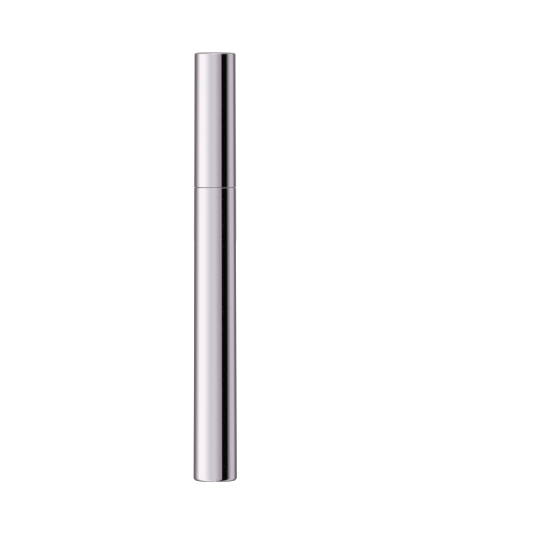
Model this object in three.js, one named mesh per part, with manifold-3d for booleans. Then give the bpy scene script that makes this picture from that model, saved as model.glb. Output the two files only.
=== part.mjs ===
// A slim mascara, closed: a metal-sleeved bottle with a threaded plastic neck and a wiper,
// and a metal-sleeved cap that carries the rod and the brush.
// Millimetres, +Z up, origin at the centre of the base. Everything turns about the Z axis.

import * as THREE from 'three';
import { mergeVertices } from 'three/addons/utils/BufferGeometryUtils.js';
import Module from 'manifold-3d';

const wasm = await Module();
wasm.setup();

// ---------------------------------------------------------------- driving dimensions

// Outside
const tubeHeight = 131; // base to cap top
const capHeight = 41.1; // cap mouth to cap top
const seamGap = 0.1; // between the sleeve's lip and the cap's mouth
const sideDraft = 0.00355; // radius lost for each millimetre of height
const shellWall = 0.45; // both metal shells, at their thinnest
const sleeveFloor = 0.6;
const baseEdgeRadius = 1.1;
const capEdgeRadius = 0.55;
const rimRadius = 0.12; // rounding of the sleeve's lip and the cap's mouth
const rimCone = 0.15; // both rims rise towards their bores, so the cap centres itself on the sleeve

// Bottle
const neckDiameter = 8.94;
const neckHeight = 10.1; // sleeve lip to neck rim
const neckWall = 1.12;
const skirtHeight = 2.9; // flared foot of the neck, from the sleeve's lip up
const reservoirWall = 0.95;
const reservoirFloor = 1.2;
const shoulderDepth = 2.4; // inside cone between the reservoir and the neck
const baseWeightHeight = 3;

// Screw thread, right-handed
const threadPitch = 1.82;
const threadTurns = 2.25;
const threadDepth = 0.63;
const threadFootWidth = 1.1;
const threadCrestWidth = 0.4;
const threadStart = 3.7; // ridge centre above the sleeve's lip, at the front
const capThreadTurns = 1.25;
const threadRunout = THREE.MathUtils.degToRad(28); // stretch over which a ridge fades out
const frontAngle = THREE.MathUtils.degToRad(-90);

// Wiper
const wiperFlangeHeight = 1.7;
const wiperFlangeInset = 0.055; // flange radius below the neck's
const wiperStemLength = 8.6;
const wiperWall = 0.6;
const wiperLipHeight = 3.2; // cone down to the orifice
const wiperFunnel = 0.5; // chamfer at the mouth of the flange

// Applicator
const rodDiameter = 3.36;
const rodWall = 0.8; // around the socket that takes the brush's tail
const rodGrip = 8; // depth of rod held in the inner cap's boss
const rodBead = 0.25; // snap ring on the rod, and the groove it sits in
const rodBeadWidth = 1;
const brushLength = 19.2;
const brushTaper = 0.72; // radius lost from the widest ring to the foot
const bristleLength = 1.2; // at the widest ring
const brushRings = 20;
const brushCollarDiameter = 3;
const brushCollarHeight = 1.8;
const brushTailLength = 6;
const brushTipClearance = 5.4; // brush tip above the reservoir's floor

// Cap
const innerCapWall = 0.63; // beside the thread
const innerCapLip = 0.45; // wall of the counterbore at the mouth
const innerCapRecess = 0.35; // inner cap above the shell's mouth
const innerCapWeb = 1.4; // web between the neck's space and the upper tube
const innerCapTubeWall = 0.9;
const bossWall = 1.5;
const capWeightHeight = 9;
const linerThickness = 0.9;

// Clearances
const slipFit = 0.1; // radial, between pieces pushed into each other
const seat = 0.05; // axial, between faces that rest on each other
const threadClearance = 0.15; // radial, between the cap's thread and the neck
const rodClearance = 0.15; // radial, rod in the wiper's orifice
const brushClearance = 0.73; // radial, brush in the neck's bore as it is pulled out

// Facets
const roundSegments = 40;
const rodSegments = 24;
const brushSegments = 20;
const arcSteps = 4;

// ---------------------------------------------------------------- derived places

const sleeveTop = tubeHeight - capHeight - seamGap;
const capMouth = tubeHeight - capHeight;
const neckRim = sleeveTop + neckHeight;
const wiperTop = neckRim + seat + wiperFlangeHeight;
const ceiling = wiperTop + seat + linerThickness + seat;
const webTop = ceiling + innerCapWeb;
const rodTop = ceiling + rodGrip;
const capCrown = tubeHeight - shellWall;
const capWeightBottom = capCrown - seat - capWeightHeight;
const innerCapTop = capWeightBottom - seat;
const reservoirBottom = sleeveFloor + seat + baseWeightHeight + seat;
const reservoirFloorTop = reservoirBottom + reservoirFloor;
const brushTip = reservoirFloorTop + brushTipClearance;
const brushTop = brushTip + brushLength;
const rodBottom = brushTop + brushCollarHeight;
const threadFoot = sleeveTop + threadStart;
const threadTop = threadFoot + threadPitch * threadTurns + threadFootWidth / 2;

const neckRadius = neckDiameter / 2;
const neckBore = neckRadius - neckWall;
const threadCrest = neckRadius + threadDepth;
const capThreadRoot = threadCrest + threadClearance;
const capThreadCrest = neckRadius + threadClearance;
const seamRadius = capThreadRoot + innerCapWall + slipFit + shellWall;
const sleeveBore = outerRadius(sleeveTop) - shellWall;
const bottleRadius = sleeveBore - slipFit;
const reservoirBore = bottleRadius - reservoirWall;
const counterbore = innerCapRadius(capMouth) - innerCapLip;
const skirtRadius = counterbore - threadClearance;
const capWeightRadius = capBore(capCrown) - slipFit;
const rodRadius = rodDiameter / 2;
const orificeRadius = rodRadius + rodClearance;
const rodSocket = rodRadius - rodWall;
const brushTailRadius = rodSocket - slipFit;
const brushRadius = neckBore - brushClearance;
const brushCore = brushRadius - bristleLength;

// ---------------------------------------------------------------- helpers

/** Outside radius of the closed tube at a height: one straight taper through both shells. */
function outerRadius(z) {
  return seamRadius + (capMouth - z) * sideDraft;
}

/** Inside radius of the cap's shell at a height. */
function capBore(z) {
  return outerRadius(z) - shellWall;
}

/** Outside radius of the inner cap at a height. */
function innerCapRadius(z) {
  return capBore(z) - slipFit;
}

/** Points of a round corner about (r, z), from one angle to another, in degrees. */
function arc(r, z, radius, from, to) {
  const points = [];
  for (let i = 0; i <= arcSteps; i++) {
    const angle = THREE.MathUtils.degToRad(from + ((to - from) * i) / arcSteps);
    points.push([r + radius * Math.cos(angle), z + radius * Math.sin(angle)]);
  }
  return points;
}

/** Turns a profile of [radius, height] points, material on its left, about the Z axis. */
function turned(profile, segments = roundSegments) {
  const points = profile.map(([r, z]) => new THREE.Vector2(r, z));
  return new THREE.LatheGeometry(points, segments).rotateX(Math.PI / 2);
}

/** The same for a ring, whose profile closes on itself away from the axis. */
function turnedRing(profile, segments = roundSegments) {
  return turned([...profile, profile[0]], segments);
}

/** A manifold solid from a closed geometry, without the slivers that a lathe leaves on its axis. */
function toSolid(geometry) {
  const bare = geometry.clone();
  bare.deleteAttribute('normal');
  bare.deleteAttribute('uv');
  const merged = mergeVertices(bare, 1e-5);
  const index = merged.index.array;
  const triangles = [];
  for (let i = 0; i < index.length; i += 3) {
    const [a, b, c] = [index[i], index[i + 1], index[i + 2]];
    if (a !== b && b !== c && c !== a) {
      triangles.push(a, b, c);
    }
  }
  return new wasm.Manifold(
    new wasm.Mesh({
      numProp: 3,
      vertProperties: new Float32Array(merged.attributes.position.array),
      triVerts: new Uint32Array(triangles),
    }),
  );
}

/** The geometry of two closed geometries joined into one body. */
function joined(a, b) {
  const mesh = toSolid(a).add(toSolid(b)).getMesh();
  const geometry = new THREE.BufferGeometry();
  geometry.setAttribute('position', new THREE.BufferAttribute(mesh.vertProperties, 3));
  geometry.setIndex(new THREE.BufferAttribute(mesh.triVerts, 1));
  geometry.computeVertexNormals();
  return geometry;
}

/**
 * A thread's ridge: a straight bar of trapezoid section, wound up the helix.
 * It stands from foot to crest, is sunk past its foot by the radial clearance,
 * and fades out at both ends. The crest is inside the foot on a female thread.
 */
function threadRidge(foot, crest, startHeight, turns) {
  const outward = Math.sign(crest - foot);
  const sunk = foot - outward * threadClearance;
  const section = new THREE.Shape();
  section.moveTo(-threadFootWidth / 2, sunk);
  section.lineTo(threadFootWidth / 2, sunk);
  section.lineTo(threadFootWidth / 2, foot);
  section.lineTo(threadCrestWidth / 2, crest);
  section.lineTo(-threadCrestWidth / 2, crest);
  section.lineTo(-threadFootWidth / 2, foot);
  section.closePath();
  const ridge = new THREE.ExtrudeGeometry(section, {
    depth: 1,
    steps: Math.round(turns * roundSegments),
    bevelEnabled: false,
  });
  const position = ridge.attributes.position;
  const turn = 2 * Math.PI * turns;
  for (let i = 0; i < position.count; i++) {
    const along = position.getZ(i);
    const angle = along * turn;
    const rise = Math.min(1, angle / threadRunout, (turn - angle) / threadRunout);
    const height = Math.max(0, (position.getY(i) - foot) * outward);
    const radius = position.getY(i) - outward * height * (1 - rise);
    position.setXYZ(
      i,
      radius * Math.cos(frontAngle + angle),
      radius * Math.sin(frontAngle + angle),
      startHeight + position.getX(i) + along * turns * threadPitch,
    );
  }
  return ridge;
}

/** Radius of the brush's outline at a distance up from its tip. */
function brushOutline(up) {
  const widest = brushLength / 4;
  if (up < widest) {
    const dome = Math.sqrt(1 - (1 - up / widest) ** 2.6);
    return brushCore + bristleLength * dome;
  }
  const fall = (up - widest) / (brushLength - widest);
  return brushRadius - brushTaper * THREE.MathUtils.smoothstep(fall, 0, 1);
}

// ---------------------------------------------------------------- bottle

/** Drawn metal sleeve: rounded base, straight bore, rounded and coned lip. */
function bottleSleeve() {
  const baseRadius = outerRadius(baseEdgeRadius);
  const lipRadius = outerRadius(sleeveTop);
  return turned([
    [0, 0],
    ...arc(baseRadius - baseEdgeRadius, baseEdgeRadius, baseEdgeRadius, -90, 0),
    ...arc(lipRadius - rimRadius, sleeveTop - rimRadius, rimRadius, 0, 90),
    [sleeveBore, sleeveTop + rimCone],
    [sleeveBore, sleeveFloor],
    [0, sleeveFloor],
  ]);
}

/** A plain disc with chamfered edges. */
function slug(radius, bottom, height) {
  const chamfer = 0.3;
  return turned([
    [0, bottom],
    [radius - chamfer, bottom],
    [radius, bottom + chamfer],
    [radius, bottom + height - chamfer],
    [radius - chamfer, bottom + height],
    [0, bottom + height],
  ]);
}

/** Moulded reservoir and neck in one: flared skirt, screw thread, open rim. */
function innerBottle() {
  const edge = 0.6;
  const skirtFoot = 0.5; // straight band below the flare
  const skirt = [];
  for (let i = 0; i <= arcSteps; i++) {
    const t = i / arcSteps;
    const height = THREE.MathUtils.lerp(skirtFoot, skirtHeight, t);
    skirt.push([THREE.MathUtils.lerp(neckRadius, skirtRadius, (1 - t) ** 2), sleeveTop + height]);
  }
  const body = turned([
    [0, reservoirBottom],
    [bottleRadius - edge, reservoirBottom],
    [bottleRadius, reservoirBottom + edge],
    [bottleRadius, sleeveTop - seat],
    [skirtRadius, sleeveTop],
    ...skirt,
    [neckRadius, neckRim],
    [neckBore, neckRim],
    [neckBore, sleeveTop],
    [reservoirBore, sleeveTop - shoulderDepth],
    [reservoirBore, reservoirFloorTop],
    [0, reservoirFloorTop],
  ]);
  return joined(body, threadRidge(neckRadius, threadCrest, threadFoot, threadTurns));
}

/** Soft plug in the neck: a flange on the rim, a stem, and a cone down to the orifice. */
function wiper() {
  const flangeRadius = neckRadius - wiperFlangeInset;
  const stemRadius = neckBore - slipFit;
  const stemBore = stemRadius - wiperWall;
  const stemBottom = neckRim - wiperStemLength;
  const coneTop = stemBottom + wiperLipHeight;
  return turnedRing([
    [orificeRadius, stemBottom],
    [orificeRadius + wiperWall, stemBottom],
    [stemRadius, coneTop],
    [stemRadius, neckRim + seat],
    [flangeRadius, neckRim + seat],
    [flangeRadius, wiperTop],
    [stemBore + wiperFunnel, wiperTop],
    [stemBore, wiperTop - wiperFunnel],
    [stemBore, coneTop],
    [orificeRadius, stemBottom + wiperWall],
  ]);
}

// ---------------------------------------------------------------- cap

/** Washer that seals the cap's ceiling against the wiper's flange. */
function capLiner() {
  const bottom = wiperTop + seat;
  return turnedRing([
    [orificeRadius, bottom],
    [neckRadius - wiperFlangeInset, bottom],
    [neckRadius - wiperFlangeInset, bottom + linerThickness],
    [orificeRadius, bottom + linerThickness],
  ]);
}

/** Drawn metal cap: flat crown, small edge radius, open mouth. */
function capShell() {
  const crownRadius = outerRadius(tubeHeight - capEdgeRadius);
  const mouthRadius = outerRadius(capMouth);
  return turned([
    [0, capCrown],
    [capBore(capCrown), capCrown],
    [capBore(capMouth), capMouth + rimCone],
    ...arc(mouthRadius - rimRadius, capMouth + rimRadius, rimRadius, -90, 0),
    ...arc(crownRadius - capEdgeRadius, tubeHeight - capEdgeRadius, capEdgeRadius, 0, 90),
    [0, tubeHeight],
  ]);
}

/** Moulded liner of the cap: threaded cup below, web with the rod's boss, upper tube. */
function innerCap() {
  const boreRadius = rodRadius + slipFit;
  const grooveRadius = boreRadius + rodBead;
  const grooveBottom = beadBottom() - slipFit;
  const grooveTop = beadBottom() + rodBeadWidth + slipFit;
  const boreTop = rodTop + seat;
  const bossRadius = grooveRadius + bossWall;
  const mouth = capMouth + innerCapRecess;
  const rootTop = threadTop + threadClearance;
  const body = turned([
    [0, boreTop],
    [boreRadius, boreTop],
    [boreRadius, grooveTop],
    [grooveRadius, grooveTop - rodBead],
    [grooveRadius, grooveBottom + rodBead],
    [boreRadius, grooveBottom],
    [boreRadius, ceiling],
    [capThreadCrest, ceiling],
    [capThreadCrest, rootTop + threadDepth],
    [capThreadRoot, rootTop],
    [capThreadRoot, sleeveTop + skirtHeight],
    [counterbore, sleeveTop + skirtHeight - threadClearance],
    [counterbore, mouth],
    [innerCapRadius(mouth), mouth],
    [innerCapRadius(innerCapTop), innerCapTop],
    [innerCapRadius(innerCapTop) - innerCapTubeWall, innerCapTop],
    [innerCapRadius(innerCapTop) - innerCapTubeWall, webTop],
    [bossRadius, webTop],
    [bossRadius, boreTop + bossWall],
    [0, boreTop + bossWall],
  ]);
  const start = threadFoot + threadPitch / 2;
  return joined(body, threadRidge(capThreadRoot, capThreadCrest, start, capThreadTurns));
}

// ---------------------------------------------------------------- wand

/** Underside of the rod's snap ring, halfway up its grip. */
function beadBottom() {
  return ceiling + rodGrip / 2;
}

/** Round rod with a snap ring in the cap's boss and a socket for the brush's tail. */
function rod() {
  const chamfer = 0.2;
  const bead = beadBottom();
  return turned(
    [
      [0, rodBottom + brushTailLength],
      [rodSocket, rodBottom + brushTailLength],
      [rodSocket, rodBottom],
      [rodRadius - chamfer, rodBottom],
      [rodRadius, rodBottom + chamfer],
      [rodRadius, bead],
      [rodRadius + rodBead, bead + rodBead],
      [rodRadius + rodBead, bead + rodBeadWidth - rodBead],
      [rodRadius, bead + rodBeadWidth],
      [rodRadius, rodTop - chamfer],
      [rodRadius - chamfer, rodTop],
      [0, rodTop],
    ],
    rodSegments,
  );
}

/** Moulded brush: rings of bristles on a core, a collar under the rod, a tail inside it. */
function brush() {
  const pitch = brushLength / brushRings;
  const profile = [
    [0, brushTip],
    [brushCore / 2, brushTip],
  ];
  for (let ring = 0; ring < brushRings; ring++) {
    const root = (ring + 0.15) * pitch;
    const edge = (ring + 0.4) * pitch;
    profile.push([brushCore, brushTip + root]);
    profile.push([brushOutline(edge), brushTip + edge]);
    profile.push([brushOutline(edge + 0.2 * pitch), brushTip + edge + 0.2 * pitch]);
    profile.push([brushCore, brushTip + root + 0.7 * pitch]);
  }
  profile.push(
    [brushCollarDiameter / 2, brushTop],
    [brushCollarDiameter / 2, rodBottom - seat],
    [brushTailRadius, rodBottom - seat],
    [brushTailRadius, rodBottom + brushTailLength - slipFit],
    [0, rodBottom + brushTailLength - slipFit],
  );
  return turned(profile, brushSegments);
}

// ---------------------------------------------------------------- assembly

const roseMetal = { color: 0xcfc6cb, roughness: 0.12, metalness: 1 };
const steel = { color: 0x9a9ca0, roughness: 0.35, metalness: 1 };
const pearlPlastic = { color: 0xe8dfe2, roughness: 0.2, metalness: 0 };
const blackPlastic = { color: 0x0d0c0e, roughness: 0.2, metalness: 0 };
const softBlack = { color: 0x151416, roughness: 0.45, metalness: 0 };
const foam = { color: 0xe9e7e2, roughness: 0.9, metalness: 0 };

function piece(name, geometry, look) {
  const mesh = new THREE.Mesh(geometry, new THREE.MeshStandardMaterial(look));
  mesh.name = name;
  return mesh;
}

const bottle = new THREE.Group();
bottle.add(
  piece('bottle_sleeve', bottleSleeve(), roseMetal),
  piece('base_weight', slug(bottleRadius, sleeveFloor + seat, baseWeightHeight), steel),
  piece('inner_bottle', innerBottle(), pearlPlastic),
  piece('wiper', wiper(), softBlack),
);

const applicator = new THREE.Group();
applicator.add(
  piece('cap_liner', capLiner(), foam),
  piece('cap_shell', capShell(), roseMetal),
  piece('inner_cap', innerCap(), blackPlastic),
  piece('cap_weight', slug(capWeightRadius, capWeightBottom, capWeightHeight), steel),
  piece('rod', rod(), blackPlastic),
  piece('brush', brush(), softBlack),
);

const mascara = new THREE.Group();
mascara.add(bottle, applicator);

export default mascara;
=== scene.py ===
"""A slim mascara, closed: a metal-sleeved bottle with neck and wiper, and a cap with rod and brush.

Metres, +Z up, origin at the centre of the base. The tube's front is -Y, and the cap pulls off along +Z.
"""

import math

import bmesh
import bpy
from mathutils import Matrix, Vector


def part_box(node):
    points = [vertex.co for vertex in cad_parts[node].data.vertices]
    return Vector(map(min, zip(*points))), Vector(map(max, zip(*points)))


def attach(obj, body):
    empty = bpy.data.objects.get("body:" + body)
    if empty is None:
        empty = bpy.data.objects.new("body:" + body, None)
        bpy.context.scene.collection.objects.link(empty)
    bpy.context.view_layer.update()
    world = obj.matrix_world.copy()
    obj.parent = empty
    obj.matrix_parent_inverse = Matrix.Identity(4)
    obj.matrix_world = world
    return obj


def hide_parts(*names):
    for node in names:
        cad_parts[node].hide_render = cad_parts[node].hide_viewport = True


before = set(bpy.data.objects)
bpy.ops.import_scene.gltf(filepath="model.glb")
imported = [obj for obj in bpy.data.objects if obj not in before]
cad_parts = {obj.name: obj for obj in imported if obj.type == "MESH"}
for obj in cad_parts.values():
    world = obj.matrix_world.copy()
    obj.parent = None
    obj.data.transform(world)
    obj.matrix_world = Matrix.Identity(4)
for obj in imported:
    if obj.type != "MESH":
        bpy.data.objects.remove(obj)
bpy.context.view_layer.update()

# Camera: a long lens a metre away, level with the cap's mouth, with the tube left of centre.
MM = 0.001
left_of_centre = 15.73 * MM
cap_bottom, cap_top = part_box("cap_shell")
camera_data = bpy.data.cameras.new("camera")
camera_data.sensor_width = 36
camera_data.lens = 220.7
camera_data.clip_start = 0.05
camera = bpy.data.objects.new("camera", camera_data)
bpy.context.scene.collection.objects.link(camera)
camera.location = (left_of_centre, -1.0, cap_bottom.z + 2 * MM)
aim = Vector((left_of_centre, 0, cap_top.z / 2 + 0.2 * MM))
camera.rotation_mode = "QUATERNION"
camera.rotation_quaternion = (aim - camera.location).to_track_quat("-Z", "Y")
bpy.context.scene.camera = camera
bpy.context.scene.view_settings.view_transform = "Standard"


# Bottle sleeve: a deep-drawn aluminium tube, polished and anodised a faint rose silver.
# Its base edge is rounded, its sides draw in slightly towards the top, and its lip is rolled smooth.
def turn(name, profile, segments=160, closed_start=True, closed_end=True):
    """Pulls a ring of edges through (radius, height) steps, as on a lathe. A profile that is open
    at both ends is joined end to start, and makes a ring."""
    bpy.ops.object.select_all(action="DESELECT")
    radius, height = profile[0]
    bpy.ops.mesh.primitive_circle_add(
        vertices=segments,
        radius=radius,
        fill_type="TRIFAN" if closed_start else "NOTHING",
        location=(0, 0, height),
    )
    piece = bpy.context.object
    piece.name = piece.data.name = name
    bpy.ops.object.transform_apply(location=True)
    bpy.ops.object.mode_set(mode="EDIT")
    if closed_start:
        select_ring(piece, radius, height)
    for next_radius, next_height in profile[1:]:
        bpy.ops.mesh.extrude_region_move(
            TRANSFORM_OT_translate={"value": (0, 0, next_height - height)}
        )
        grow = next_radius / radius
        bpy.ops.transform.resize(value=(grow, grow, 1), center_override=(0, 0, next_height))
        radius, height = next_radius, next_height
    if closed_end:
        bpy.ops.mesh.extrude_region_move()
        bpy.ops.mesh.merge(type="CENTER")
    bpy.ops.mesh.select_all(action="SELECT")
    bpy.ops.mesh.remove_doubles(threshold=0.002 * MM)
    bpy.ops.mesh.normals_make_consistent(inside=False)
    bpy.ops.object.mode_set(mode="OBJECT")
    return piece


def select_ring(piece, radius, height):
    """In edit mode, selects the ring of edges at that radius and height, and nothing else."""
    bpy.ops.mesh.select_mode(type="EDGE")
    bpy.ops.mesh.select_all(action="DESELECT")
    mesh = bmesh.from_edit_mesh(piece.data)
    for edge in mesh.edges:
        edge.select_set(
            all(
                abs(corner.co.z - height) < 0.004 * MM
                and abs(corner.co.xy.length - radius) < 0.004 * MM
                for corner in edge.verts
            )
        )
    bmesh.update_edit_mesh(piece.data)


def round_ring(piece, radius, height, by, steps=6):
    """Rounds the corner that runs round the piece at that radius and height."""
    bpy.ops.object.mode_set(mode="EDIT")
    select_ring(piece, radius, height)
    bpy.ops.mesh.bevel(offset=by, segments=steps, affect="EDGES")
    bpy.ops.object.mode_set(mode="OBJECT")


def finish_piece(piece, material, body, slot, *nodes, angle=32):
    """Smooth shading up to an angle, the material, and the body that the piece moves with."""
    bpy.ops.object.select_all(action="DESELECT")
    piece.select_set(True)
    bpy.context.view_layer.objects.active = piece
    bpy.ops.object.shade_smooth_by_angle(angle=math.radians(angle))
    piece.data.materials.clear()
    piece.data.materials.append(material)
    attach(piece, body)
    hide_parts(*nodes)


def linear(colour):
    """An sRGB hex colour as linear red, green, blue and full alpha."""
    parts = [int(colour[i : i + 2], 16) / 255 for i in (1, 3, 5)]
    return [c / 12.92 if c <= 0.04045 else ((c + 0.055) / 1.055) ** 2.4 for c in parts] + [1]


def add_node(tree, kind, settings=None, links=None):
    """Adds a node. Settings are its properties or sockets, and links are socket: (node, output)."""
    node = tree.nodes.new(kind)
    for name, value in (settings or {}).items():
        if name in node.inputs:
            node.inputs[name].default_value = value
        else:
            setattr(node, name, value)
    for name, (source, output) in (links or {}).items():
        tree.links.new(source.outputs[output], node.inputs[name])
    return node


def new_material(name):
    """An empty material, its node tree and its output."""
    material = bpy.data.materials.new(name)
    material.use_nodes = True
    material.node_tree.nodes.clear()
    output = add_node(material.node_tree, "ShaderNodeOutputMaterial")
    return material, material.node_tree, output


def polished_aluminium():
    """Drawn aluminium, polished and clear-anodised with a trace of rose dye: a near mirror, whose
    dye layer is a little uneven and whose polish leaves the faintest round-and-round grain."""
    material, tree, output = new_material("polished_rose_aluminium")
    place = add_node(tree, "ShaderNodeTexCoord")
    # Polishing grain runs round the tube: a few tenths of a millimetre up, and long sideways.
    stretch = add_node(
        tree,
        "ShaderNodeMapping",
        {"Scale": (60, 60, 2500)},
        {"Vector": (place, "Object")},
    )
    grain = add_node(
        tree,
        "ShaderNodeTexNoise",
        {"Scale": 1.0, "Detail": 3.0, "Roughness": 0.6},
        {"Vector": (stretch, "Vector")},
    )
    clouds = add_node(
        tree, "ShaderNodeTexNoise", {"Scale": 90.0, "Detail": 2.0}, {"Vector": (place, "Object")}
    )
    polish = add_node(
        tree,
        "ShaderNodeMapRange",
        {"From Min": 0.3, "From Max": 0.7, "To Min": 0.055, "To Max": 0.085},
        {"Value": (grain, "Fac")},
    )
    dye = add_node(
        tree,
        "ShaderNodeMix",
        {"data_type": "RGBA", "A": linear("#e9e5e8"), "B": linear("#e6e2e5")},
        {"Factor": (clouds, "Fac")},
    )
    ripple = add_node(
        tree,
        "ShaderNodeBump",
        {"Strength": 0.02, "Distance": 0.02 * MM},
        {"Height": (grain, "Fac")},
    )
    metal = add_node(
        tree,
        "ShaderNodeBsdfPrincipled",
        {"Metallic": 1.0},
        {
            "Base Color": (dye, 2),
            "Roughness": (polish, "Result"),
            "Normal": (ripple, "Normal"),
        },
    )
    tree.links.new(metal.outputs["BSDF"], output.inputs["Surface"])
    return material


aluminium = polished_aluminium()
shell_wall = 0.45 * MM
slip_fit = 0.1 * MM
seat = 0.05 * MM
lip_round = 0.12 * MM
rim_cone = 0.15 * MM
base_round = 1.1 * MM
sleeve_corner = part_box("bottle_sleeve")[1]
base_radius = sleeve_corner.x
sleeve_top = sleeve_corner.z - rim_cone
mouth_radius = cap_top.x
draft = (base_radius - mouth_radius) / (cap_bottom.z - base_round)


def tube_radius(height):
    """The closed tube's outside radius at a height: one straight taper through both shells."""
    return mouth_radius + (cap_bottom.z - height) * draft


sleeve_bore = tube_radius(sleeve_top) - shell_wall
sleeve_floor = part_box("base_weight")[0].z - seat
sleeve = turn(
    "sleeve",
    [
        (tube_radius(0) - 2 * base_round, 0),
        (tube_radius(0) - 1.3 * base_round, 0),
        (tube_radius(0), 0),
        (tube_radius(1.3 * base_round), 1.3 * base_round),
        (tube_radius(sleeve_top - 2 * lip_round), sleeve_top - 2 * lip_round),
        (tube_radius(sleeve_top), sleeve_top),
        (sleeve_bore, sleeve_top + rim_cone),
        (sleeve_bore, sleeve_floor),
    ],
)
round_ring(sleeve, tube_radius(0), 0, base_round, 10)
round_ring(sleeve, tube_radius(sleeve_top), sleeve_top, lip_round, 5)
finish_piece(sleeve, aluminium, "bottle", "sleeve_metal", "bottle_sleeve")


# Base weight: a zinc-plated steel slug pressed into the foot of the sleeve, so that the tube feels
# solid and stands steadily. It is cut from bar, with turned chamfers and a shallow centre mark.
def zinc_plated_steel():
    """Bright zinc over turned steel: pale bluish grey, satin, with fine rings left by the lathe."""
    material, tree, output = new_material("zinc_plated_steel")
    place = add_node(tree, "ShaderNodeTexCoord")
    lathe_rings = add_node(
        tree,
        "ShaderNodeTexWave",
        {"wave_type": "RINGS", "rings_direction": "Z", "Scale": 1100.0, "Distortion": 0.4},
        {"Vector": (place, "Object")},
    )
    mottle = add_node(
        tree, "ShaderNodeTexNoise", {"Scale": 900.0, "Detail": 3.0}, {"Vector": (place, "Object")}
    )
    satin = add_node(
        tree,
        "ShaderNodeMapRange",
        {"To Min": 0.28, "To Max": 0.42},
        {"Value": (mottle, "Fac")},
    )
    colour = add_node(
        tree,
        "ShaderNodeMix",
        {"data_type": "RGBA", "A": linear("#b9bcc2"), "B": linear("#c9ccd0")},
        {"Factor": (mottle, "Fac")},
    )
    grooves = add_node(
        tree,
        "ShaderNodeBump",
        {"Strength": 0.3, "Distance": 0.02 * MM},
        {"Height": (lathe_rings, "Fac")},
    )
    metal = add_node(
        tree,
        "ShaderNodeBsdfPrincipled",
        {"Metallic": 1.0},
        {"Base Color": (colour, 2), "Roughness": (satin, "Result"), "Normal": (grooves, "Normal")},
    )
    tree.links.new(metal.outputs["BSDF"], output.inputs["Surface"])
    return material


def slug(name, node):
    """A turned slug that fills a node's box, with rounded chamfers and a centre mark on top."""
    low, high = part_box(node)
    chamfer = 0.3 * MM
    mark = 0.6 * MM
    piece = turn(
        name,
        [
            (high.x - 3 * chamfer, low.z),
            (high.x, low.z),
            (high.x, high.z),
            (high.x - 3 * chamfer, high.z),
            (mark, high.z),
            (mark / 3, high.z - mark),
        ],
        96,
    )
    round_ring(piece, high.x, low.z, chamfer, 3)
    round_ring(piece, high.x, high.z, chamfer, 3)
    return piece


steel = zinc_plated_steel()
finish_piece(
    slug("sleeve_weight", "base_weight"), steel, "bottle", "weight_steel", "base_weight"
)


# Inner bottle: the reservoir, shoulder, skirt and threaded neck, injection blow moulded in one piece
# of pearl-white polypropylene. It slides into the sleeve until its shoulder is level with the lip.
def pearl_polypropylene():
    """Polypropylene with mica pearl: milky, faintly pink, glossy, and lit a little from inside.
    The pearl pigment drifts in soft streaks where the plastic flowed up into the neck."""
    material, tree, output = new_material("pearl_polypropylene")
    place = add_node(tree, "ShaderNodeTexCoord")
    flow = add_node(
        tree, "ShaderNodeMapping", {"Scale": (500, 500, 160)}, {"Vector": (place, "Object")}
    )
    streaks = add_node(
        tree,
        "ShaderNodeTexNoise",
        {"Scale": 1.0, "Detail": 3.0, "Distortion": 0.8},
        {"Vector": (flow, "Vector")},
    )
    pearl = add_node(
        tree,
        "ShaderNodeMix",
        {"data_type": "RGBA", "A": linear("#d9cdd2"), "B": linear("#efe7ea")},
        {"Factor": (streaks, "Fac")},
    )
    gloss = add_node(
        tree,
        "ShaderNodeMapRange",
        {"To Min": 0.1, "To Max": 0.2},
        {"Value": (streaks, "Fac")},
    )
    plastic = add_node(
        tree,
        "ShaderNodeBsdfPrincipled",
        {
            "IOR": 1.5,
            "Specular IOR Level": 0.8,
            "Subsurface Weight": 0.4,
            "Subsurface Radius": (1.0, 0.85, 0.85),
            "Subsurface Scale": 0.9 * MM,
            "Coat Weight": 0.5,
            "Coat Roughness": 0.08,
        },
        {"Base Color": (pearl, 2), "Roughness": (gloss, "Result")},
    )
    tree.links.new(plastic.outputs["BSDF"], output.inputs["Surface"])
    return material


def rings_between(radius, low, high, count):
    """Evenly spaced profile steps up or down a straight wall."""
    return [(radius, low + (high - low) * i / count) for i in range(count + 1)]


def cut_thread(piece, wall, depth, start, turns):
    """Raises a screw ridge on the band of rings at radius wall: a right-handed helix that begins at
    the front, with a rounded crest, soft fillets at its foot, and ends that fade into the wall."""
    fade = math.radians(28)
    front = math.radians(-90)
    for corner in piece.data.vertices:
        radius = corner.co.xy.length
        if abs(radius - wall) > 0.004 * MM:
            continue
        angle = (math.atan2(corner.co.y, corner.co.x) - front) % math.tau
        lap = round((corner.co.z - start) / pitch - angle / math.tau)
        along = angle + lap * math.tau
        off_centre = abs(corner.co.z - start - along * pitch / math.tau)
        rise = min(1, along / fade, (turns * math.tau - along) / fade)
        flank = min(1, max(0, (foot_half_width - off_centre) / (foot_half_width - crest_half_width)))
        crest = flank * flank * (3 - 2 * flank)
        if rise > 0 and crest > 0:
            grown = radius + depth * crest * rise * rise * (3 - 2 * rise)
            corner.co.xy *= grown / radius


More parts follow.
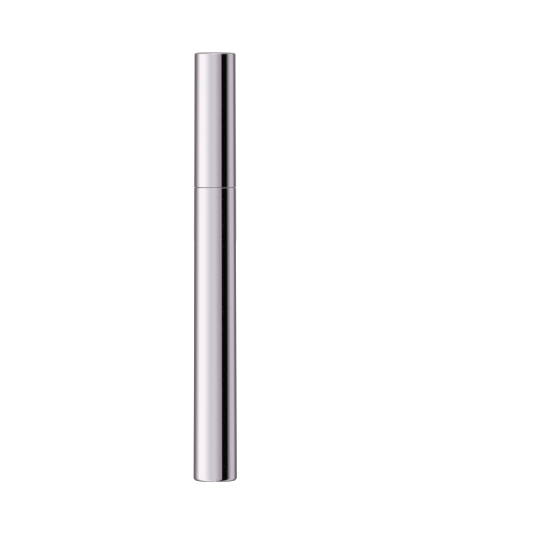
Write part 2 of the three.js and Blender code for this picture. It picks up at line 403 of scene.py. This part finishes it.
pearl = pearl_polypropylene()
pitch = 1.82 * MM
foot_half_width = 0.64 * MM
crest_half_width = 0.17 * MM
thread_depth = 0.63 * MM
thread_turns = 2.25
neck_radius = 4.47 * MM
neck_wall = 1.12 * MM
neck_bore = neck_radius - neck_wall
skirt_height = 2.9 * MM
skirt_radius = 5.28 * MM
foot_band = 0.45 * MM
foot_lip = 0.45 * MM
foot_edge = 0.16 * MM
foot_chamfer = 0.1 * MM
foot_top = 0.3 * MM
parting_height = 1.4 * MM
parting_step = 0.09 * MM
skirt_end = 2.64 * MM
skirt_end_step = 0.12 * MM
moulded_edge = 0.15 * MM
reservoir_wall = 0.95 * MM
reservoir_floor = 1.2 * MM
shoulder_depth = 2.4 * MM
thread_start = sleeve_top + 3.7 * MM
bottle_low, bottle_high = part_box("inner_bottle")
neck_rim = bottle_high.z
bottle_radius = bottle_high.x
reservoir_bore = bottle_radius - reservoir_wall
reservoir_corner = 0.63 * MM
reservoir_bottom = bottle_low.z + reservoir_floor
thread_low = sleeve_top + skirt_height
thread_high = thread_start + thread_turns * pitch + foot_half_width


def skirt_flare(height):
    """The skirt's outside radius: concave, from its foot band up to the neck."""
    up = (height - foot_band) / (skirt_height - foot_band)
    return neck_radius + (skirt_radius - neck_radius) * (1 - up) ** 2


flare = [
    (skirt_flare(height) - (parting_step if height > parting_height else 0), sleeve_top + height)
    for height in (h * MM for h in (0.6, 0.85, 1.1, 1.37, 1.43, 1.7, 2.0, 2.3, 2.6))
]
inner_bottle = turn(
    "reservoir_and_neck",
    [
        (bottle_radius - 2 * MM, bottle_low.z),
        (bottle_radius, bottle_low.z),
        (bottle_radius, bottle_low.z + 2 * MM),
        (bottle_radius, sleeve_top - 1 * MM),
        (bottle_radius, sleeve_top - seat),
        (skirt_radius + foot_lip, sleeve_top - seat),
        (skirt_radius + foot_lip, sleeve_top + foot_edge),
        (skirt_radius + foot_lip - foot_chamfer, sleeve_top + foot_edge + foot_chamfer),
        (skirt_radius + 0.08 * MM, sleeve_top + foot_top),
        (skirt_radius - 0.05 * MM, sleeve_top + foot_band),
        *flare,
        (neck_radius + skirt_end_step, sleeve_top + skirt_end),
        (neck_radius, sleeve_top + skirt_end + 0.04 * MM),
        *rings_between(neck_radius, thread_low, thread_high, 96),
        (neck_radius, neck_rim - 0.4 * MM),
        (neck_radius, neck_rim),
        (neck_bore, neck_rim),
        (neck_bore, neck_rim - 0.4 * MM),
        (neck_bore, sleeve_top),
        (reservoir_bore, sleeve_top - shoulder_depth),
        (reservoir_bore, reservoir_bottom + 1 * MM),
        (reservoir_bore - reservoir_corner, reservoir_bottom),
    ],
)
cut_thread(inner_bottle, neck_radius, thread_depth, thread_start, thread_turns)
round_ring(inner_bottle, bottle_radius, bottle_low.z, 0.6 * MM, 5)
round_ring(inner_bottle, bottle_radius, sleeve_top - seat, moulded_edge, 3)
round_ring(inner_bottle, neck_radius, neck_rim, moulded_edge, 3)
round_ring(inner_bottle, neck_bore, neck_rim, moulded_edge, 3)
finish_piece(inner_bottle, pearl, "bottle", "pearl_plastic", "inner_bottle")


# Wiper: a soft polyethylene plug pushed into the neck. Its flange seals the rim, and the thin cone
# below it strips the rod and shapes how much mascara stays on the brush.
def soft_polyethylene():
    """Low-density polyethylene, dyed black: waxy satin, with the faint drag marks of a core pin."""
    material, tree, output = new_material("black_polyethylene")
    place = add_node(tree, "ShaderNodeTexCoord")
    drag = add_node(
        tree, "ShaderNodeMapping", {"Scale": (3000, 3000, 200)}, {"Vector": (place, "Object")}
    )
    marks = add_node(
        tree, "ShaderNodeTexNoise", {"Scale": 1.0, "Detail": 2.0}, {"Vector": (drag, "Vector")}
    )
    wax = add_node(
        tree,
        "ShaderNodeMapRange",
        {"To Min": 0.2, "To Max": 0.34},
        {"Value": (marks, "Fac")},
    )
    lines = add_node(
        tree,
        "ShaderNodeBump",
        {"Strength": 0.15, "Distance": 0.01 * MM},
        {"Height": (marks, "Fac")},
    )
    plastic = add_node(
        tree,
        "ShaderNodeBsdfPrincipled",
        {"Base Color": linear("#101012"), "IOR": 1.51, "Specular IOR Level": 0.4},
        {"Roughness": (wax, "Result"), "Normal": (lines, "Normal")},
    )
    tree.links.new(plastic.outputs["BSDF"], output.inputs["Surface"])
    return material


wiper_low, wiper_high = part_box("wiper")
flange_radius = wiper_high.x
wiper_wall = 0.6 * MM
stem_radius = neck_bore - slip_fit
stem_bore = stem_radius - wiper_wall
rod_radius = 1.68 * MM
rod_clearance = 0.15 * MM
orifice = rod_radius + rod_clearance
funnel = 0.5 * MM
lip_height = 3.2 * MM
cone_top = wiper_low.z + lip_height
flange_round = 0.12 * MM
flange_low = neck_rim + seat
wiper = turn(
    "neck_wiper",
    [
        (orifice, wiper_low.z),
        (orifice + wiper_wall, wiper_low.z),
        (stem_radius, cone_top),
        (stem_radius, cone_top + 0.6 * MM),
        (stem_radius, flange_low - 0.3 * MM),
        (stem_radius, flange_low),
        (flange_radius, flange_low),
        (flange_radius, flange_low + 0.4 * MM),
        (flange_radius, wiper_high.z - 0.4 * MM),
        (flange_radius, wiper_high.z),
        (stem_bore + funnel + 0.3 * MM, wiper_high.z),
        (stem_bore + funnel, wiper_high.z),
        (stem_bore, wiper_high.z - funnel),
        (stem_bore, cone_top + 0.6 * MM),
        (stem_bore, cone_top),
        (orifice, wiper_low.z + wiper_wall),
        (orifice, wiper_low.z),
    ],
    128,
    closed_start=False,
    closed_end=False,
)
round_ring(wiper, orifice + wiper_wall, wiper_low.z, 0.15 * MM, 3)
round_ring(wiper, flange_radius, flange_low, flange_round, 3)
round_ring(wiper, flange_radius, wiper_high.z, flange_round, 3)
round_ring(wiper, stem_bore + funnel, wiper_high.z, 0.1 * MM, 3)
finish_piece(wiper, soft_polyethylene(), "bottle", "wiper_plastic", "wiper")


# Cap liner: a washer stamped from closed-cell polyethylene foam sheet, loose on the rod. Screwing
# the cap down squeezes it between the inner cap's ceiling and the wiper's flange.
def foam_sheet():
    """Closed-cell polyethylene foam: off-white and matt, with a skin of fine round cells."""
    material, tree, output = new_material("polyethylene_foam")
    place = add_node(tree, "ShaderNodeTexCoord")
    # The cells are about 0.15 mm across.
    cells = add_node(
        tree,
        "ShaderNodeTexVoronoi",
        {"Scale": 1 / (0.15 * MM)},
        {"Vector": (place, "Object")},
    )
    dents = add_node(
        tree,
        "ShaderNodeBump",
        {"Strength": 0.5, "Distance": 0.03 * MM},
        {"Height": (cells, "Distance")},
    )
    shade = add_node(
        tree,
        "ShaderNodeMix",
        {"data_type": "RGBA", "A": linear("#f1efe9"), "B": linear("#dcd9d1")},
        {"Factor": (cells, "Distance")},
    )
    foam = add_node(
        tree,
        "ShaderNodeBsdfPrincipled",
        {"Roughness": 0.85, "IOR": 1.45},
        {"Base Color": (shade, 2), "Normal": (dents, "Normal")},
    )
    tree.links.new(foam.outputs["BSDF"], output.inputs["Surface"])
    return material


liner_low, liner_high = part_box("cap_liner")
stamped_edge = 0.12 * MM
liner = turn(
    "sealing_washer",
    [
        (orifice, liner_low.z),
        (liner_high.x, liner_low.z),
        (liner_high.x, liner_high.z),
        (orifice, liner_high.z),
        (orifice, liner_low.z),
    ],
    128,
    closed_start=False,
    closed_end=False,
)
for ring_radius, ring_height in [
    (liner_high.x, liner_low.z),
    (liner_high.x, liner_high.z),
    (orifice, liner_low.z),
    (orifice, liner_high.z),
]:
    round_ring(liner, ring_radius, ring_height, stamped_edge, 3)
finish_piece(liner, foam_sheet(), "sealing_washer", "liner_foam", "cap_liner")


# Cap shell: drawn, polished and anodised with the sleeve, so that the two match when the tube is
# closed. Its crown is flat with a small edge radius, and its mouth meets the sleeve in a fine line.
crown_round = 0.55 * MM
crown_low = cap_top.z - shell_wall
bore_crown = tube_radius(crown_low) - shell_wall
cap_shell = turn(
    "cap",
    [
        (bore_crown - 0.6 * MM, crown_low),
        (bore_crown, crown_low),
        (bore_crown, crown_low - 0.6 * MM),
        (mouth_radius - shell_wall, cap_bottom.z + 2 * lip_round),
        (mouth_radius - shell_wall, cap_bottom.z + rim_cone),
        (mouth_radius, cap_bottom.z),
        (tube_radius(cap_bottom.z + 2 * lip_round), cap_bottom.z + 2 * lip_round),
        (tube_radius(cap_top.z - 2 * crown_round), cap_top.z - 2 * crown_round),
        (tube_radius(cap_top.z), cap_top.z),
        (tube_radius(cap_top.z) - 2 * crown_round, cap_top.z),
        (tube_radius(cap_top.z) - 3 * crown_round, cap_top.z),
    ],
)
round_ring(cap_shell, mouth_radius, cap_bottom.z, lip_round, 5)
round_ring(cap_shell, mouth_radius - shell_wall, cap_bottom.z + rim_cone, 0.04 * MM, 2)
round_ring(cap_shell, tube_radius(cap_top.z), cap_top.z, crown_round, 8)
finish_piece(cap_shell, aluminium, "applicator", "sleeve_metal", "cap_shell")


# Inner cap: glossy black polypropylene, glued into the shell. Its mouth clears the neck's skirt,
# its thread runs on the neck's, a web with a boss grips the rod, and a tube above holds the weight.
def black_polypropylene():
    """Moulded black polypropylene: deep gloss over the barest orange peel from the polished tool."""
    material, tree, output = new_material("black_polypropylene")
    place = add_node(tree, "ShaderNodeTexCoord")
    peel = add_node(
        tree, "ShaderNodeTexNoise", {"Scale": 1500.0, "Detail": 2.0}, {"Vector": (place, "Object")}
    )
    smear = add_node(
        tree, "ShaderNodeTexNoise", {"Scale": 220.0, "Detail": 3.0}, {"Vector": (place, "Object")}
    )
    gloss = add_node(
        tree,
        "ShaderNodeMapRange",
        {"To Min": 0.08, "To Max": 0.18},
        {"Value": (smear, "Fac")},
    )
    skin = add_node(
        tree,
        "ShaderNodeBump",
        {"Strength": 0.05, "Distance": 0.01 * MM},
        {"Height": (peel, "Fac")},
    )
    plastic = add_node(
        tree,
        "ShaderNodeBsdfPrincipled",
        {
            "Base Color": linear("#0a0a0b"),
            "IOR": 1.5,
            "Specular IOR Level": 0.25,
        },
        {"Roughness": (gloss, "Result"), "Normal": (skin, "Normal")},
    )
    tree.links.new(plastic.outputs["BSDF"], output.inputs["Surface"])
    return material


black_plastic = black_polypropylene()
thread_clearance = 0.15 * MM
cap_root = neck_radius + thread_depth + thread_clearance
cap_crest = neck_radius + thread_clearance
cap_thread_turns = 1.25
inner_low, inner_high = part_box("inner_cap")
mouth_outer = tube_radius(inner_low.z) - shell_wall - slip_fit
mouth_wall = 0.45 * MM
counterbore = mouth_outer - mouth_wall
top_outer = tube_radius(inner_high.z) - shell_wall - slip_fit
upper_tube_wall = 0.9 * MM
top_inner = top_outer - upper_tube_wall
ceiling = liner_high.z + seat
web_thickness = 1.4 * MM
web_top = ceiling + web_thickness
rod_low, rod_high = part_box("rod")
bore_top = rod_high.z + seat
rod_bead = rod_high.x - rod_radius
bead_low = ceiling + 4 * MM
bead_high = bead_low + 1 * MM
boss_bore = rod_radius + slip_fit
boss_wall = 1.5 * MM
boss_radius = boss_bore + rod_bead + boss_wall
boss_top = bore_top + boss_wall
tube_fillet = 0.5 * MM
root_low = sleeve_top + skirt_height
root_high = thread_high + 0.2 * MM
inner_cap = turn(
    "inner_cap_liner",
    [
        (boss_bore, bore_top),
        (boss_bore, bead_high + slip_fit),
        (boss_bore + rod_bead, bead_high + slip_fit - rod_bead),
        (boss_bore + rod_bead, bead_low - slip_fit + rod_bead),
        (boss_bore, bead_low - slip_fit),
        (boss_bore, ceiling + 0.3 * MM),
        (boss_bore + 0.3 * MM, ceiling),
        (cap_crest - 0.3 * MM, ceiling),
        (cap_crest, ceiling),
        (cap_crest, ceiling - 0.3 * MM),
        (cap_crest, root_high + 0.7 * MM),
        *rings_between(cap_root, root_high, root_low, 96),
        (counterbore, root_low - thread_clearance),
        (counterbore, inner_low.z + 0.2 * MM),
        (counterbore, inner_low.z),
        (mouth_outer, inner_low.z),
        (mouth_outer, inner_low.z + 0.3 * MM),
        (top_outer, inner_high.z - 0.3 * MM),
        (top_outer, inner_high.z),
        (top_inner, inner_high.z),
        (top_inner, web_top + 1 * MM),
        (top_inner, web_top),
        (boss_radius, web_top),
        (boss_radius, web_top + 1 * MM),
        (boss_radius, boss_top),
        (boss_radius - 1.2 * MM, boss_top),
    ],
)
cut_thread(inner_cap, cap_root, cap_crest - cap_root, thread_start + pitch / 2, cap_thread_turns)
round_ring(inner_cap, counterbore, inner_low.z, 0.08 * MM, 2)
round_ring(inner_cap, mouth_outer, inner_low.z, 0.08 * MM, 2)
round_ring(inner_cap, top_outer, inner_high.z, moulded_edge, 3)
round_ring(inner_cap, top_inner, inner_high.z, moulded_edge, 3)
round_ring(inner_cap, top_inner, web_top, tube_fillet, 4)
round_ring(inner_cap, boss_radius, web_top, tube_fillet, 4)
round_ring(inner_cap, boss_radius, boss_top, tube_fillet, 4)
finish_piece(inner_cap, black_plastic, "applicator", "black_plastic", "inner_cap")


# Cap weight: the same turned steel as the base weight, glued under the crown.
finish_piece(slug("cap_slug", "cap_weight"), steel, "cap_slug", "weight_steel", "cap_weight")


# Rod: a straight round stick moulded in glossy black polypropylene. A snap ring near its top locks
# it in the inner cap's boss, and a socket in its lower end takes the brush's tail.
rod_wall = 0.8 * MM
socket = rod_radius - rod_wall
socket_depth = 6 * MM
shoulder = 0.2 * MM
rod = turn(
    "wand_rod",
    [
        (socket, rod_low.z + socket_depth),
        (socket, rod_low.z + 0.3 * MM),
        (socket + 0.05 * MM, rod_low.z),
        (rod_radius - 1.3 * shoulder, rod_low.z),
        (rod_radius, rod_low.z + 3.5 * shoulder),
        (rod_radius, rod_low.z + 6 * shoulder),
        (rod_radius, bead_low - 0.5 * MM),
        (rod_radius, bead_low),
        (rod_radius + rod_bead, bead_low + rod_bead),
        (rod_radius + rod_bead, bead_high - rod_bead),
        (rod_radius, bead_high),
        (rod_radius, rod_high.z - 3 * shoulder),
        (rod_radius, rod_high.z),
        (rod_radius - 3 * shoulder, rod_high.z),
    ],
    64,
)
round_ring(rod, rod_radius, rod_high.z, shoulder, 3)
round_ring(rod, rod_radius + rod_bead, bead_low + rod_bead, 0.1 * MM, 2)
finish_piece(rod, black_plastic, "applicator", "black_plastic", "rod")


# Brush: moulded in one shot of black elastomer. Rings of short conical bristles stand on a round
# core, each ring turned half a step from the last, and fan out over a domed tip. The collar butts
# against the rod, and the tail behind it is glued into the rod's socket.
def moulded_elastomer():
    """Polyester elastomer, dyed black: satin, with a fine grain in its roughness and surface."""
    material, tree, output = new_material("black_elastomer")
    place = add_node(tree, "ShaderNodeTexCoord")
    grain = add_node(
        tree, "ShaderNodeTexNoise", {"Scale": 2500.0, "Detail": 2.0}, {"Vector": (place, "Object")}
    )
    satin = add_node(
        tree,
        "ShaderNodeMapRange",
        {"To Min": 0.24, "To Max": 0.4},
        {"Value": (grain, "Fac")},
    )
    skin = add_node(
        tree,
        "ShaderNodeBump",
        {"Strength": 0.1, "Distance": 0.01 * MM},
        {"Height": (grain, "Fac")},
    )
    elastomer = add_node(
        tree,
        "ShaderNodeBsdfPrincipled",
        {"Base Color": linear("#0c0c0d"), "IOR": 1.5, "Specular IOR Level": 0.5},
        {"Roughness": (satin, "Result"), "Normal": (skin, "Normal")},
    )
    tree.links.new(elastomer.outputs["BSDF"], output.inputs["Surface"])
    return material


elastomer = moulded_elastomer()
brush_low, brush_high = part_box("brush")
brush_radius = brush_high.x
core_radius = 1.4 * MM
tip_dome = brush_radius
collar_height = 1.8 * MM
taper = 0.72 * MM
brush_top = rod_low.z - collar_height
foot_radius = brush_radius - taper
collar_radius = 1.5 * MM
tail_radius = socket - slip_fit
bristle_pitch = 0.73 * MM
bristles_in_ring = 16
bristle_length = 0.8 * MM
root_depth = 0.1 * MM
belly_radius = brush_radius - bristle_length
bristle_tip = 0.04
straight_part = 0.25
dome_bands = [(16, 15), (32, 13), (48, 10), (63, 7), (78, 4), (90, 1)]
first_ring = brush_low.z + tip_dome
rings = int((brush_top - 0.3 * MM - first_ring) / bristle_pitch) + 1


def outline(up):
    """The bristle tips' distance from the axis, at a distance up from the brush's tip."""
    share = up / (brush_top - brush_low.z)
    fall = max(0, (share - straight_part) / (1 - straight_part))
    return brush_radius - (brush_radius - foot_radius) * fall * fall * (3 - 2 * fall)


def core_surface(up):
    """The core's radius at a distance up from the brush's tip."""
    return max(core_radius, outline(up) - bristle_length)


brush_core = turn(
    "brush",
    [
        *[
            (
                belly_radius * math.sin(math.radians(slope)),
                first_ring - belly_radius * math.cos(math.radians(slope)),
            )
            for slope in range(12, 85, 12)
        ],
        *[
            (core_surface(tip_dome + up * MM), first_ring + up * MM)
            for up in range(15)
        ],
        (core_radius, brush_top - 0.5 * MM),
        (collar_radius - 0.12 * MM, brush_top + 0.2 * MM),
        (collar_radius - 0.12 * MM, brush_top + 0.9 * MM),
        (collar_radius, brush_top + 1.5 * MM),
        (collar_radius, rod_low.z - seat),
        (tail_radius, rod_low.z - seat),
        (tail_radius, rod_low.z + 1 * MM),
        (tail_radius, brush_high.z - 0.3 * MM),
        (tail_radius - 0.2 * MM, brush_high.z),
    ],
    36,
)

# One bristle, root at the origin and tip up +Z, one unit long: a slim cone with a rounded end.
bpy.ops.object.select_all(action="DESELECT")
bpy.ops.mesh.primitive_cone_add(
    vertices=6, radius1=0.3 * MM, radius2=0.15 * MM, depth=1, location=(0, 0, 0.5)
)
bristle = bpy.context.object
bpy.ops.object.transform_apply(location=True)
bpy.ops.object.mode_set(mode="EDIT")
bpy.ops.mesh.select_mode(type="FACE")
bpy.ops.mesh.select_all(action="DESELECT")
bristle_mesh = bmesh.from_edit_mesh(bristle.data)
for face in bristle_mesh.faces:
    face.select_set(face.normal.z > 0.9)
bmesh.update_edit_mesh(bristle.data)
bpy.ops.mesh.inset(thickness=0.04 * MM)
bpy.ops.transform.translate(value=(0, 0, bristle_tip))
bpy.ops.object.mode_set(mode="OBJECT")

bristles = []


def plant(root_height, root_radius, tip_height, tip_radius, turn_angle):
    """Copies the bristle, from a root to a tip in the plane at that angle round the brush."""
    away = Vector((math.cos(turn_angle), math.sin(turn_angle), 0))
    root = away * root_radius + Vector((0, 0, root_height))
    reach = away * tip_radius + Vector((0, 0, tip_height)) - root
    copy = bristle.copy()
    copy.data = bristle.data.copy()
    lean = reach.to_track_quat("Z", "Y").to_matrix().to_4x4()
    stretch = Matrix.Diagonal((1, 1, reach.length / (1 + bristle_tip), 1))
    copy.data.transform(Matrix.Translation(root) @ lean @ stretch)
    bpy.context.scene.collection.objects.link(copy)
    bristles.append(copy)


for ring in range(rings):
    height = first_ring + ring * bristle_pitch
    root = core_surface(height - brush_low.z) - root_depth
    for place in range(bristles_in_ring):
        ring_angle = math.tau * (place + 0.5 * (ring % 2)) / bristles_in_ring
        plant(height, root, height, outline(height - brush_low.z), ring_angle)
# The dome: bands of bristles at a slope in degrees, with fewer of them towards the pole.
dome_root = belly_radius - root_depth
for band, (slope, number) in enumerate(dome_bands):
    climb = math.radians(slope)
    for place in range(number):
        plant(
            first_ring - dome_root * math.sin(climb),
            dome_root * math.cos(climb),
            first_ring - tip_dome * math.sin(climb),
            tip_dome * math.cos(climb),
            math.tau * (place + 0.5 * (1 - band % 2)) / number,
        )
bpy.data.objects.remove(bristle)
bpy.ops.object.select_all(action="DESELECT")
for copy in bristles:
    copy.select_set(True)
brush_core.select_set(True)
bpy.context.view_layer.objects.active = brush_core
bpy.ops.object.join()
finish_piece(brush_core, elastomer, "applicator", "brush_plastic", "brush", angle=50)


# Floor: a plain matt white sweep. It isn't seen in the polished metal, so the studio's dark and
# light cards run unbroken down the sleeve.
bpy.ops.object.select_all(action="DESELECT")
bpy.ops.mesh.primitive_plane_add(size=8, location=(0, 0, -0.02 * MM))
floor = bpy.context.object
floor.name = "floor"
bpy.ops.object.transform_apply(location=True)
paper, paper_tree, paper_output = new_material("white_paper_sweep")
paper_shade = add_node(
    paper_tree,
    "ShaderNodeBsdfPrincipled",
    {
        "Base Color": linear("#f6f6f6"),
        "Roughness": 0.9,
        "Emission Color": linear("#ffffff"),
        "Emission Strength": 0.7,
    },
)
paper_tree.links.new(paper_shade.outputs["BSDF"], paper_output.inputs["Surface"])
floor.data.materials.append(paper)
floor.visible_glossy = False
floor.visible_diffuse = False


# Studio: what the polished metal mirrors, as cards at angles round the tube from its front. A soft box
# stands between mauve and pale walls on the left, a black flag with one hard edge and a grey card on
# the right (positive angles), and the room behind is dim but for a strip light.
soft_box = "#f7f6f9"
front_wall = "#cbcbce"
mauve_wall = "#a89da6"
black_flag = "#070608"
grey_card = "#c2bec4"
dim_room = "#6a686b"
studio_cards = [
    (-180, soft_box),
    (-170, dim_room),
    (-130, dim_room),
    (-115, mauve_wall),
    (-90, soft_box),
    (-60, soft_box),
    (-25, front_wall),
    (0, front_wall),
    (25, mauve_wall),
    (35, mauve_wall),
    (36, black_flag),
    (68, black_flag),
    (92, grey_card),
    (115, grey_card),
    (130, dim_room),
    (170, dim_room),
    (180, soft_box),
]
world = bpy.data.worlds.new("studio")
bpy.context.scene.world = world
world.use_nodes = True
studio = world.node_tree
studio.nodes.clear()
direction = add_node(studio, "ShaderNodeTexCoord")
turned_view = add_node(
    studio,
    "ShaderNodeMapping",
    {"Rotation": (0, 0, math.radians(90))},
    {"Vector": (direction, "Generated")},
)
around = add_node(
    studio,
    "ShaderNodeTexGradient",
    {"gradient_type": "RADIAL"},
    {"Vector": (turned_view, "Vector")},
)
cards = add_node(studio, "ShaderNodeValToRGB", None, {"Fac": (around, "Fac")})
stops = cards.color_ramp.elements
while len(stops) > 1:
    stops.remove(stops[-1])
for number, (angle, colour) in enumerate(studio_cards):
    place = (angle + 180) / 360
    stop = stops[0] if number == 0 else stops.new(place)
    stop.position = place
    stop.color = linear(colour)
up_down = add_node(studio, "ShaderNodeSeparateXYZ", None, {"Vector": (direction, "Generated")})
overhead_part = add_node(
    studio,
    "ShaderNodeMapRange",
    {"From Min": 0.12, "From Max": 0.4},
    {"Value": (up_down, "Z")},
)
# Overhead the metal mirrors a canopy, bright towards the front and dim towards the back.
canopy = add_node(
    studio,
    "ShaderNodeMapRange",
    {"From Min": -0.9, "From Max": -0.5, "To Min": 0.9, "To Max": 0.3},
    {"Value": (up_down, "Y")},
)
mirrored = add_node(
    studio,
    "ShaderNodeMix",
    {"data_type": "RGBA"},
    {"Factor": (overhead_part, "Result"), "A": (cards, "Color"), "B": (canopy, "Result")},
)
surroundings = add_node(
    studio, "ShaderNodeBackground", {"Strength": 1.25}, {"Color": (mirrored, 2)}
)
# All other light is an even soft white, stronger from above, and the camera sees plain white.
from_above = add_node(
    studio,
    "ShaderNodeMapRange",
    {"From Min": -1.0, "From Max": 1.0, "To Min": 0.22, "To Max": 1.1},
    {"Value": (up_down, "Z")},
)
soft_light = add_node(
    studio, "ShaderNodeBackground", {"Color": linear("#ffffff")}, {"Strength": (from_above, "Result")}
)
backdrop = add_node(studio, "ShaderNodeBackground", {"Color": linear("#ffffff"), "Strength": 1.05})
ray = add_node(studio, "ShaderNodeLightPath")
lit = add_node(
    studio,
    "ShaderNodeMixShader",
    None,
    {0: (ray, "Is Glossy Ray"), 1: (soft_light, 0), 2: (surroundings, 0)},
)
seen = add_node(
    studio,
    "ShaderNodeMixShader",
    None,
    {0: (ray, "Is Camera Ray"), 1: (lit, 0), 2: (backdrop, 0)},
)
world.cycles.sampling_method = "NONE"
add_node(studio, "ShaderNodeOutputWorld", None, {"Surface": (seen, 0)})


# Lamps: a large soft box overhead, and tall cards at the sides whose gloss only the plastics take.
card_distance = 1.1
card_height = 0.1
card_length = 1.6
overhead_data = bpy.data.lights.new("overhead", "AREA")
overhead_data.shape = "SQUARE"
overhead_data.size = 0.7
overhead_data.energy = 3
overhead = bpy.data.objects.new("overhead", overhead_data)
overhead.location = (0, -0.1, 0.9)
overhead.visible_glossy = False
bpy.context.scene.collection.objects.link(overhead)
black_pieces = bpy.data.collections.new("black_pieces")
for black_piece in (wiper, inner_cap, rod, brush_core):
    black_pieces.objects.link(black_piece)
pearl_pieces = bpy.data.collections.new("pearl_pieces")
pearl_pieces.objects.link(inner_bottle)
for card_name, card_angle, card_width, card_power, takers in [
    ("left_card", -53, 0.7, 42, black_pieces),
    ("right_card", 53, 0.3, 5, black_pieces),
    ("pearl_card", 55, 1.1, 20, pearl_pieces),
]:
    card_data = bpy.data.lights.new(card_name, "AREA")
    card_data.shape = "RECTANGLE"
    card_data.size = card_width
    card_data.size_y = card_length
    card_data.energy = card_power
    card = bpy.data.objects.new(card_name, card_data)
    card_turn = math.radians(card_angle)
    card.location = (
        card_distance * math.sin(card_turn),
        -card_distance * math.cos(card_turn),
        card_height,
    )
    card.rotation_mode = "QUATERNION"
    card.rotation_quaternion = (Vector((0, 0, card_height)) - card.location).to_track_quat("-Z", "Y")
    card.visible_diffuse = False
    card.light_linking.receiver_collection = takers
    bpy.context.scene.collection.objects.link(card)
